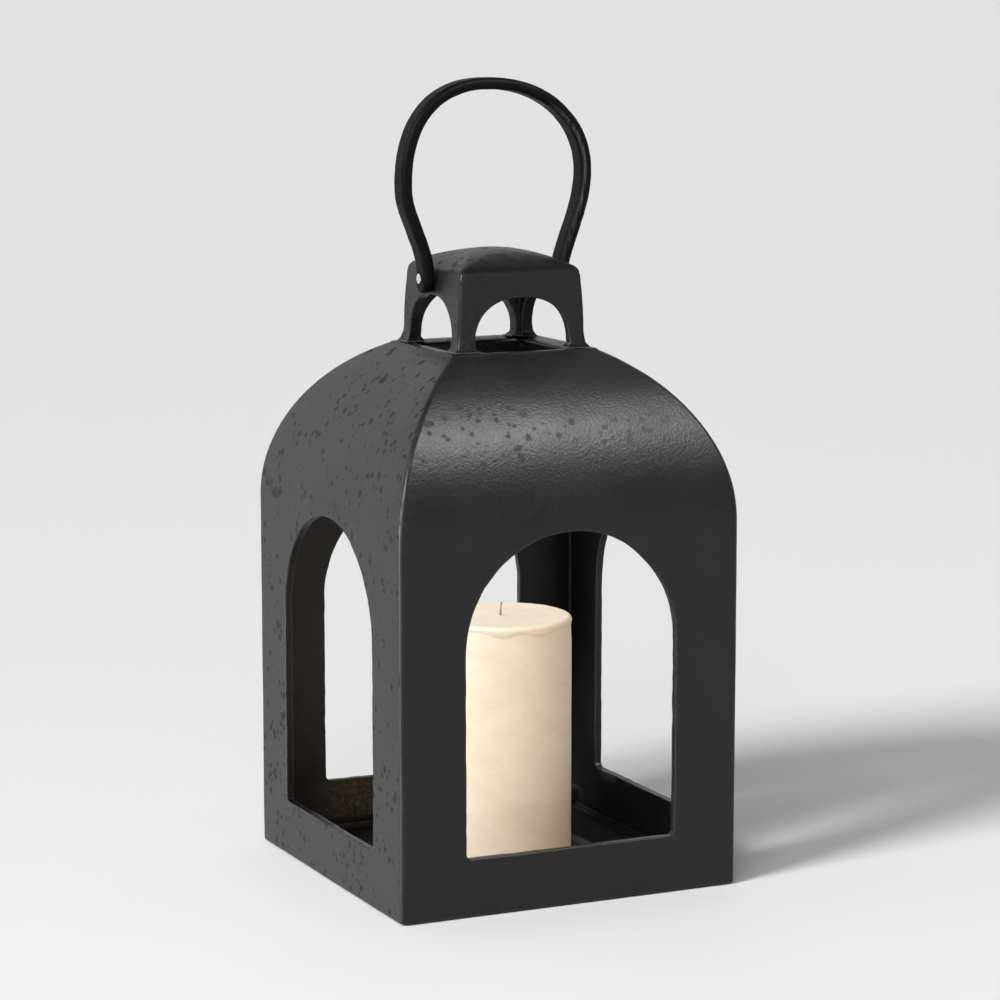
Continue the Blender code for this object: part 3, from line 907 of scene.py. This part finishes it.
def build_cap(material):
    skin = Skin()
    legs = {}
    for label, profile, radius, grow, fillet in (
        ("outer", cap_outer, CAP_CORNER_R, 0.0, CAP_EDGE_R),
        ("inner", cap_inner, CAP_INNER_CORNER_R, ARCH_DRAFT, CAP_INNER_EDGE_R),
    ):
        right, top, left = cap_arch(grow)
        edge = right[:-1] + top[:-1] + left
        feet = even_steps(CAP_FOOT, CAP_FOOT + 6.4, 8)
        heights = feet[:-1] + even_steps(feet[-1], CAP_WALL_TOP, 18)
        w1 = profile(CAP_WALL_TOP) - radius
        border = [(profile(z) - radius, z) for z in heights[:-1]]
        border += [(a, CAP_WALL_TOP) for a in even_steps(w1, -w1, 30)[:-1]]
        border += [(-profile(z) + radius, z) for z in reversed(heights)]
        rows = wall_rows(grown(edge, fillet, CAP_FOOT), border, profile, SPREAD)
        skin.rows(rows)
        corner = corner_rows(profile, radius, heights)
        skin.rows(corner)
        legs[label] = ([row[0] for row in rows], corner[0], [row[-1] for row in rows], edge)

    passage = []
    for inset, outset in rounding(CAP_EDGE_R, 5):
        outline = grown(legs["outer"][3], outset, CAP_FOOT)
        passage.append([(a, -cap_outer(z) + inset, z) for a, z in outline])
    outer_edge, inner_edge = grown(legs["outer"][3], 0), grown(legs["inner"][3], 0)
    for share in (0.25, 0.5, 0.75):
        row = []
        for (a, z), (b, w) in zip(outer_edge, inner_edge):
            near = -cap_outer(z) + CAP_EDGE_R
            far = -cap_inner(w) - CAP_INNER_EDGE_R
            row.append(
                (a + (b - a) * share, near + (far - near) * share, z + (w - z) * share)
            )
        passage.append(row)
    for inset, outset in reversed(rounding(CAP_INNER_EDGE_R, 2)):
        outline = grown(legs["inner"][3], outset, CAP_FOOT)
        passage.append([(a, -cap_inner(z) - inset, z) for a, z in outline])
    skin.rows(passage)

    def sole(label):
        """Underside of the right-hand leg, out round the corner and along the next side's leg."""
        right, corner, left, _ = legs[label]
        turned_left = [(-y, x, z) for x, y, z in left]
        return right + corner[1:] + turned_left[::-1][1:]

    outer_sole, inner_sole = sole("outer"), sole("inner")
    skin.rows([outer_sole, inner_sole])
    start = [row[0] for row in passage]
    end = [(-row[-1][1], row[-1][0], row[-1][2]) for row in passage]
    skin.face(*start)
    skin.face(*end)

    edge_z = CAP_FOOT + CAP_PROFILE[-1][0]
    edge_half = cap_outer(edge_z)
    crown = [(cap_outer(z), CAP_CORNER_R, z) for z in even_steps(CAP_WALL_TOP, edge_z, 16)]
    for k in range(1, 19):
        part = 1 - k / 18.6
        radius = min(edge_half * part * 0.95, CAP_CORNER_R + 0.9 * k)
        crown.append(
            (edge_half * part, radius, CAP_CROWN - (CAP_CROWN - edge_z) * part**2.4)
        )
    rows = [side_row(half, radius, z, 30) for half, radius, z in crown]
    skin.rows(rows)
    for a, b in zip(rows[-1], rows[-1][1:]):
        skin.face(a, b, (0.0, 0.0, CAP_CROWN))
    ceiling = [(CAP_INSIDE, CAP_INNER_CORNER_R, z) for z in (CAP_WALL_TOP, CAP_INSIDE_TOP)]
    ceiling += [(28.6, 2.0, 319.8), (25.2, 3.0, 321.2), (14.0, 4.0, 324.2), (6.0, 3.0, 324.4)]
    rows = [side_row(half, radius, z, 30) for half, radius, z in ceiling]
    skin.rows(rows)
    for a, b in zip(rows[-1], rows[-1][1:]):
        skin.face(a, b, (0.0, 0.0, 324.4))

    def cast(point):
        """Sand-cast: slow waves all over, and rough feet."""
        moved = Vector(point) + wander(point, 0.12, 18.0, 5.3) + wander(point, 0.07, 5.0, 1.9)
        height = point[2] - CAP_FOOT
        if 0.05 < height < 7.0 and max(abs(point[0]), abs(point[1])) < CAP_HALF + 1.2:
            moved += wander(point, 0.55 * (1 - height / 7.0), 2.4, 9.2)
        return (moved.x, moved.y, max(CAP_FOOT, min(CAP_CROWN, moved.z)))

    cap = mesh_piece(
        "cap_casting", skin.four(), "lantern", material, ("vent_cap",),
        move=cast,
    )
    hole = [(RIVET_HOLE_R, -50.0), (RIVET_HOLE_R, 50.0)]
    holes = [("DIFFERENCE", loft(turned_along_x(hole, HINGE_Z, 32)))]
    hole = [(CAP_HOLE_R, 270.0), (CAP_HOLE_R, 290.6)]
    for sx, sy in CORNERS:
        rings = turned(hole, sx * CAP_SCREW_XY, sy * CAP_SCREW_XY, 32)
        holes.append(("DIFFERENCE", loft(rings)))
    combine(cap, holes)
    crisp(cap)


# Floor plate and what is under it
PLATE_UNDER = 1.4
FLOOR_Z = 3.0
LIP_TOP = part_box("base_plate")[1].z / MM
LIP_WIDTH = 2.4
RING_TOP = 5.8
BASE_SCREW_XY, BASE_HOLE_R = 84.0, 2.3
CAP_SCREW_XY, CAP_HOLE_R = 32.8, 1.8
PAD_XY = 68.0


def build_plate(material):
    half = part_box("base_plate")[1].x / MM
    inner = half - LIP_WIDTH
    rings = [
        (half - 0.4, PLATE_UNDER), (half, PLATE_UNDER + 0.4), (half, LIP_TOP - 0.5),
        (half - 0.15, LIP_TOP - 0.15), (half - 0.5, LIP_TOP), (inner + 0.7, LIP_TOP),
        (inner + 0.2, LIP_TOP - 0.25), (inner, LIP_TOP - 0.8), (inner - 0.2, FLOOR_Z + 0.6),
        (inner - 0.8, FLOOR_Z),
    ]
    plate = mesh_piece(
        "floor_plate", loft([square_ring(h, 1.5, z) for h, z in rings]), "lantern",
        material, ("base_plate",),
    )
    ring = [
        (61.2, FLOOR_Z - 0.8), (60.6, FLOOR_Z + 0.15), (60.1, FLOOR_Z + 1.3),
        (59.6, RING_TOP - 0.9), (59.0, RING_TOP - 0.55), (58.4, RING_TOP - 0.75),
        (58.0, RING_TOP - 0.8), (57.5, RING_TOP - 0.35), (56.8, RING_TOP), (55.8, RING_TOP - 0.1),
        (55.0, RING_TOP - 0.7), (54.4, FLOOR_Z + 0.9), (53.8, FLOOR_Z + 0.1),
        (53.0, FLOOR_Z - 0.8),
    ]
    tools = [("UNION", loft(turned(ring, sides=160), closed=True))]
    for sx, sy in CORNERS:
        boss = [(6.0, FLOOR_Z - 0.8), (5.5, FLOOR_Z + 0.4), (5.1, LIP_TOP - 0.4), (4.7, LIP_TOP)]
        sink = [(4.7, PLATE_UNDER - 0.5), (2.3, PLATE_UNDER + 1.9), (2.3, LIP_TOP + 1)]
        x, y = sx * BASE_SCREW_XY, sy * BASE_SCREW_XY
        tools.append(("UNION", loft(turned(boss, x, y, 48))))
        tools.append(("DIFFERENCE", loft(turned(sink, x, y, 48))))
    combine(plate, tools)
    crisp(plate, 32)


def build_fasteners(steel, coated, rubber):
    for i, (sx, sy) in enumerate(CORNERS, 1):
        x, y = sx * BASE_SCREW_XY, sy * BASE_SCREW_XY
        profile = [
            (3.0, PLATE_UNDER + 0.1), (3.5, PLATE_UNDER + 0.15), (3.8, PLATE_UNDER + 0.4),
            (2.0, PLATE_UNDER + 2.0),
        ]
        profile += threads(2.0, 1.75, PLATE_UNDER + 2.6, 12.0, 0.8)
        profile += [(1.7, 12.4), (1.3, 12.8)]
        screw = mesh_piece(
            f"base_screw_shape_{i}", loft(turned(profile, x, y, 40)), "lantern",
            steel, (f"base_screw_{i}",),
        )
        slot = [
            [(x + a, y + b, z) for a, b in ((-2.7, -0.45), (2.7, -0.45), (2.7, 0.45), (-2.7, 0.45))]
            for z in (PLATE_UNDER - 1, PLATE_UNDER + 0.9)
        ]
        combine(screw, [("DIFFERENCE", loft(slot))])
        crisp(screw, 30)

        x, y = sx * CAP_SCREW_XY, sy * CAP_SCREW_XY
        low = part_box(f"cap_screw_{i}")[0].z / MM
        profile = [(1.1, low), (1.8, low + 0.2), (2.2, low + 0.7), (2.3, low + 1.7)]
        profile += [(1.5, low + 1.7)] + threads(1.5, 1.3, low + 2.4, 289.4, 0.6) + [(1.1, 290.2)]
        screw = mesh_piece(
            f"cap_screw_shape_{i}", loft(turned(profile, x, y, 40)), "lantern",
            coated, (f"cap_screw_{i}",),
        )
        crisp(screw, 30)

        pad = [
            (2.6, 0.5), (4.2, 0.4), (5.6, 0.05), (6.4, 0.0), (6.85, 0.15), (7.0, 0.5), (7.0, 0.8),
            (6.8, PLATE_UNDER - 0.3),
        ]
        pad_piece = mesh_piece(
            f"foot_pad_shape_{i}", loft(turned(pad, sx * PAD_XY, sy * PAD_XY, 64)), "lantern",
            rubber, (f"foot_pad_{i}",),
        )
        crisp(pad_piece, 50)


def threads(crest, root, low, high, pitch):
    """Profile of a screw's threaded length."""
    profile = []
    for k in range(int((high - low) / pitch)):
        z = low + k * pitch
        profile += [(root, z), (root, z + pitch * 0.2), (crest, z + pitch * 0.6)]
    return profile


# Strap handle
STRAP_WIDTH = 13.0
STRAP_THICK = 6.2
STRAP_EDGE_R = 2.7
STRAP_FOOT_X = 38.6
STRAP_END_Z = 313.3
STRAP_FOOT_TOP = 316.8
STRAP_TOP_X, STRAP_TOP_Z = -3.5, 414.1
STRAP_LEFT = (50.8, 361.3, 1.03, 2.34)
STRAP_RIGHT = (51.9, 367.7, 0.75, 2.08)
STRAP_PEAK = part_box("handle_strap")[1].z / MM


def strap_side(belly_x, belly_z, haste, power, top_x):
    """(x, z, half width, thickness share) up one leg of the strap to the top of the loop."""
    half = STRAP_WIDTH / 2
    side = [(STRAP_FOOT_X, STRAP_END_Z - half + 0.02, half * 0.10, 0.62)]
    for angle in even_steps(math.radians(10), math.radians(90), 14):
        share = min(1.0, 0.70 + 0.45 * math.sin(angle))
        side.append(
            (STRAP_FOOT_X, STRAP_END_Z - half * math.cos(angle), half * math.sin(angle), share)
        )
    for t in even_steps(0, 1, 44):
        ease = (t * t * (3 - 2 * t)) ** haste
        x = STRAP_FOOT_X + (belly_x - STRAP_FOOT_X) * ease
        side.append((x, STRAP_FOOT_TOP + (belly_z - STRAP_FOOT_TOP) * t, half, 1.0))
    for angle in even_steps(0, math.radians(90), 50)[1:]:
        x = top_x + (belly_x - top_x) * max(0.0, math.cos(angle)) ** (2 / power)
        z = belly_z + (STRAP_TOP_Z - belly_z) * math.sin(angle) ** (2 / power)
        side.append((x, z, half, 1.0))
    return side


def build_strap(material):
    section = []
    flat_y, flat_n = STRAP_WIDTH / 2 - STRAP_EDGE_R, STRAP_THICK / 2 - STRAP_EDGE_R
    for corner, (sy, sn) in enumerate(CORNERS):
        for k in range(7):
            angle = math.radians(90 * corner + 15 * k)
            section.append(
                (
                    sy * flat_y + STRAP_EDGE_R * math.cos(angle),
                    sn * flat_n + STRAP_EDGE_R * math.sin(angle),
                )
            )
        if corner % 2 == 0:
            for share in (0.2, 0.4, 0.6, 0.8):
                section.append((sy * flat_y * (1 - 2 * share), sn * STRAP_THICK / 2))
    path = [(-x, z, w, s) for x, z, w, s in strap_side(*STRAP_LEFT, -STRAP_TOP_X)]
    path += strap_side(*STRAP_RIGHT, STRAP_TOP_X)[-2::-1]
    rings = []
    for i, (x, z, half, share) in enumerate(path):
        x0, z0 = path[max(i - 1, 0)][:2]
        x1, z1 = path[min(i + 1, len(path) - 1)][:2]
        length = math.hypot(x1 - x0, z1 - z0)
        nx, nz = -(z1 - z0) / length, (x1 - x0) / length
        narrow = half / (STRAP_WIDTH / 2)
        rings.append(
            [(x + nx * n * share, y * narrow, z + nz * n * share) for y, n in section]
        )

    def handled(point):
        """Slightly uneven above the part that lies on the cap."""
        fade = min(1.0, max(0.0, (point[2] - STRAP_FOOT_TOP) / 12.0))
        offset = wander(point, 0.15 * fade, 16.0, 4.4) + wander(point, 0.10 * fade, 4.0, 8.1)
        moved = Vector(point) + offset
        return (moved.x, moved.y, min(moved.z, STRAP_PEAK))

    strap = mesh_piece(
        "strap_loop", loft(rings), "handle", material, ("handle_strap",), move=handled
    )
    hole = turned_along_x([(RIVET_HOLE_R, -60.0), (RIVET_HOLE_R, 60.0)], HINGE_Z, 32)
    combine(strap, [("DIFFERENCE", loft(hole))])
    crisp(strap, 50)


def build_rivets(nickel, steel):
    for side, sign in (("left", -1), ("right", 1)):
        low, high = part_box(f"handle_rivet_{side}")
        near, far = sorted((abs(low.x) / MM, abs(high.x) / MM))
        head = STRAP_FOOT_X + STRAP_THICK / 2 + 0.3
        crown = min(far, head + 0.75)
        profile = [(0.02, crown), (1.2, crown - 0.03), (2.0, crown - 0.09)]
        profile += [(2.35, crown - 0.17), (2.55, crown - 0.30), (2.62, crown - 0.48)]
        profile += [(2.62, head), (1.5, head), (1.5, near + 1.3), (2.4, near + 1.3)]
        profile += [(2.5, near + 1.1), (2.3, near + 0.5), (1.7, near + 0.1), (0.02, near)]
        rings = turned_along_x([(r, sign * x) for r, x in profile], HINGE_Z)
        rivet = mesh_piece(
            f"rivet_{side}", loft(rings), "lantern", nickel,
            (f"handle_rivet_{side}",),
        )
        crisp(rivet, 35)
        low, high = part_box(f"rivet_burr_{side}")
        near, far = sorted((abs(low.x) / MM, abs(high.x) / MM))
        profile = [
            (3.6, far), (1.8, far), (1.8, near), (3.3, near), (3.55, near + 0.15), (3.6, near + 0.4)
        ]
        rings = turned_along_x([(r, sign * x) for r, x in profile], HINGE_Z)
        burr = mesh_piece(
            f"burr_{side}", loft(rings, closed=True), "lantern", steel,
            (f"rivet_burr_{side}",),
        )
        crisp(burr, 35)


# Candle
CANDLE_R = 38.0
WICK_R = 0.7
TAB_R = 10.0
CUP_DEPTH = 0.6
LIP_DROP = [
    (-180, 3.0), (-152, 2.2), (-135, 1.2), (-112, 4.4), (-98, 2.4), (-82, 4.7), (-70, 3.7),
    (-52, 1.8), (-20, 3.4), (20, 2.0), (65, 4.2), (110, 1.8), (150, 3.8), (180, 3.0),
]


def lip_drop(turn):
    """How far the poured lip hangs below the top, at a direction in degrees."""
    for (a, low), (b, high) in zip(LIP_DROP, LIP_DROP[1:]):
        if a <= turn <= b:
            t = (turn - a) / (b - a)
            return low + (high - low) * t * t * (3 - 2 * t)
    return LIP_DROP[0][1]


def build_candle(wax, cotton, steel):
    low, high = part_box("candle_wax")
    cx, cy = (low.x + high.x) / 2 / MM, (low.y + high.y) / 2 / MM
    bottom, top = low.z / MM, high.z / MM
    hole = WICK_R + 0.3
    profile = [
        (hole, bottom + 1.0), (TAB_R + 0.3, bottom + 1.0), (TAB_R + 0.3, bottom),
        (CANDLE_R - 1.2, bottom), (CANDLE_R - 0.4, bottom + 0.35), (CANDLE_R, bottom + 1.2),
    ]
    profile += [(CANDLE_R, z) for z in even_steps(bottom + 4, top - 12, 40)]
    profile += [(CANDLE_R, top - 12 + k * 0.4) for k in range(1, 24)]
    for t in even_steps(0, math.pi / 2, 14):
        profile.append((CANDLE_R - 2.4 + 2.4 * math.cos(t), top - 2.4 + 2.4 * math.sin(t)))
    for share in even_steps(0.90, 0.05, 22):
        r = CANDLE_R * share
        profile.append((max(r, hole), top - CUP_DEPTH * (1 - (r / CANDLE_R / 0.92) ** 4)))
    profile.append((hole, top - CUP_DEPTH))

    def poured(point):
        """Hand-poured: a softened, uneven lip that overhangs a faint groove, and soft dents."""
        x, y, z = point
        dx, dy = x - cx, y - cy
        r, turn = math.hypot(dx, dy), math.atan2(dy, dx)
        if z < bottom + 3 or r < 1.5:
            return (x, y, z)
        round_at = Vector((math.cos(turn), math.sin(turn), 0.0))
        inward = 0.12 + 0.22 * (0.5 + 0.5 * noise.noise(Vector((dx / 18, dy / 18, z / 24))))
        if r > CANDLE_R * 0.9:
            below = z - top + lip_drop(math.degrees(turn))
            if below < 0:
                inward += 0.50 * min(1.0, -below / 1.8) ** 2 * max(0.0, 1 + below / 12)
            else:
                inward -= 0.1
            inward = max(0.0, inward)
            x, y = cx + dx * (r - inward) / r, cy + dy * (r - inward) / r
        rise = min(1.0, max(0.0, (z - top + 5) / 4))
        z -= rise * (0.35 + 0.35 * noise.noise(round_at * 1.1 * r / CANDLE_R + Vector((5, 2, 1))))
        z += rise * 0.12 * noise.noise(Vector((dx / 7, dy / 7, 2.0)))
        return (x, y, min(z, top))

    candle = mesh_piece(
        "pillar_candle", loft(turned(profile, cx, cy, 180), closed=True), "candle", wax,
        ("candle_wax",), move=poured,
    )
    crisp(candle, 50)

    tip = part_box("candle_wick")[1].z / MM
    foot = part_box("candle_wick")[0].z / MM
    rings = []
    count = 70
    for k in range(count + 1):
        t = k / count
        z = foot + (tip - foot) * t
        free = max(0.0, (z - top + 3.0) / (tip - top + 3.0))
        lean = 1.2 * max(0.0, free - 0.3) ** 2
        ring = []
        for j in range(24):
            angle = 2 * math.pi * j / 24
            braid = 1 - 0.16 * abs(math.sin(1.5 * angle + z * 2.4)) if free > 0 else 0.95
            taper = 1 if t < 0.97 else 0.75
            radius = WICK_R * braid * taper
            ring.append((cx + lean + radius * math.cos(angle), cy + radius * math.sin(angle), z))
        rings.append(ring)
    wick = mesh_piece(
        "braided_wick", loft(rings), "candle", cotton, ("candle_wick",)
    )
    crisp(wick, 60)
    low_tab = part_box("wick_tab")[0].z / MM
    profile = [
        (hole, low_tab), (TAB_R - 0.2, low_tab), (TAB_R, low_tab + 0.15), (TAB_R, low_tab + 0.3),
        (TAB_R - 0.15, low_tab + 0.4), (hole + 0.8, low_tab + 0.4), (hole + 0.5, low_tab + 0.6),
        (hole, low_tab + 0.6),
    ]
    tab = mesh_piece(
        "wick_tab_disc", loft(turned(profile, cx, cy, 72), closed=True), "candle",
        steel, ("wick_tab",),
    )
    crisp(tab, 35)


# ---------------------------------------------------------------- the whole

build_stage()
coat = powder_coat("powder_coat")
steel = bright_metal("plated_steel_skin", (0.55, 0.55, 0.56), 0.28)
build_body(coat)
build_cap(coat)
build_plate(powder_coat("plate_coat"))
build_fasteners(steel, powder_coat("screw_coat"), pad_rubber())
build_strap(strap_skin())
build_rivets(bright_metal("nickel_skin", (0.86, 0.85, 0.83), 0.12, 0.05), steel)
build_candle(candle_skin(), cotton_skin(), steel)
share_light()
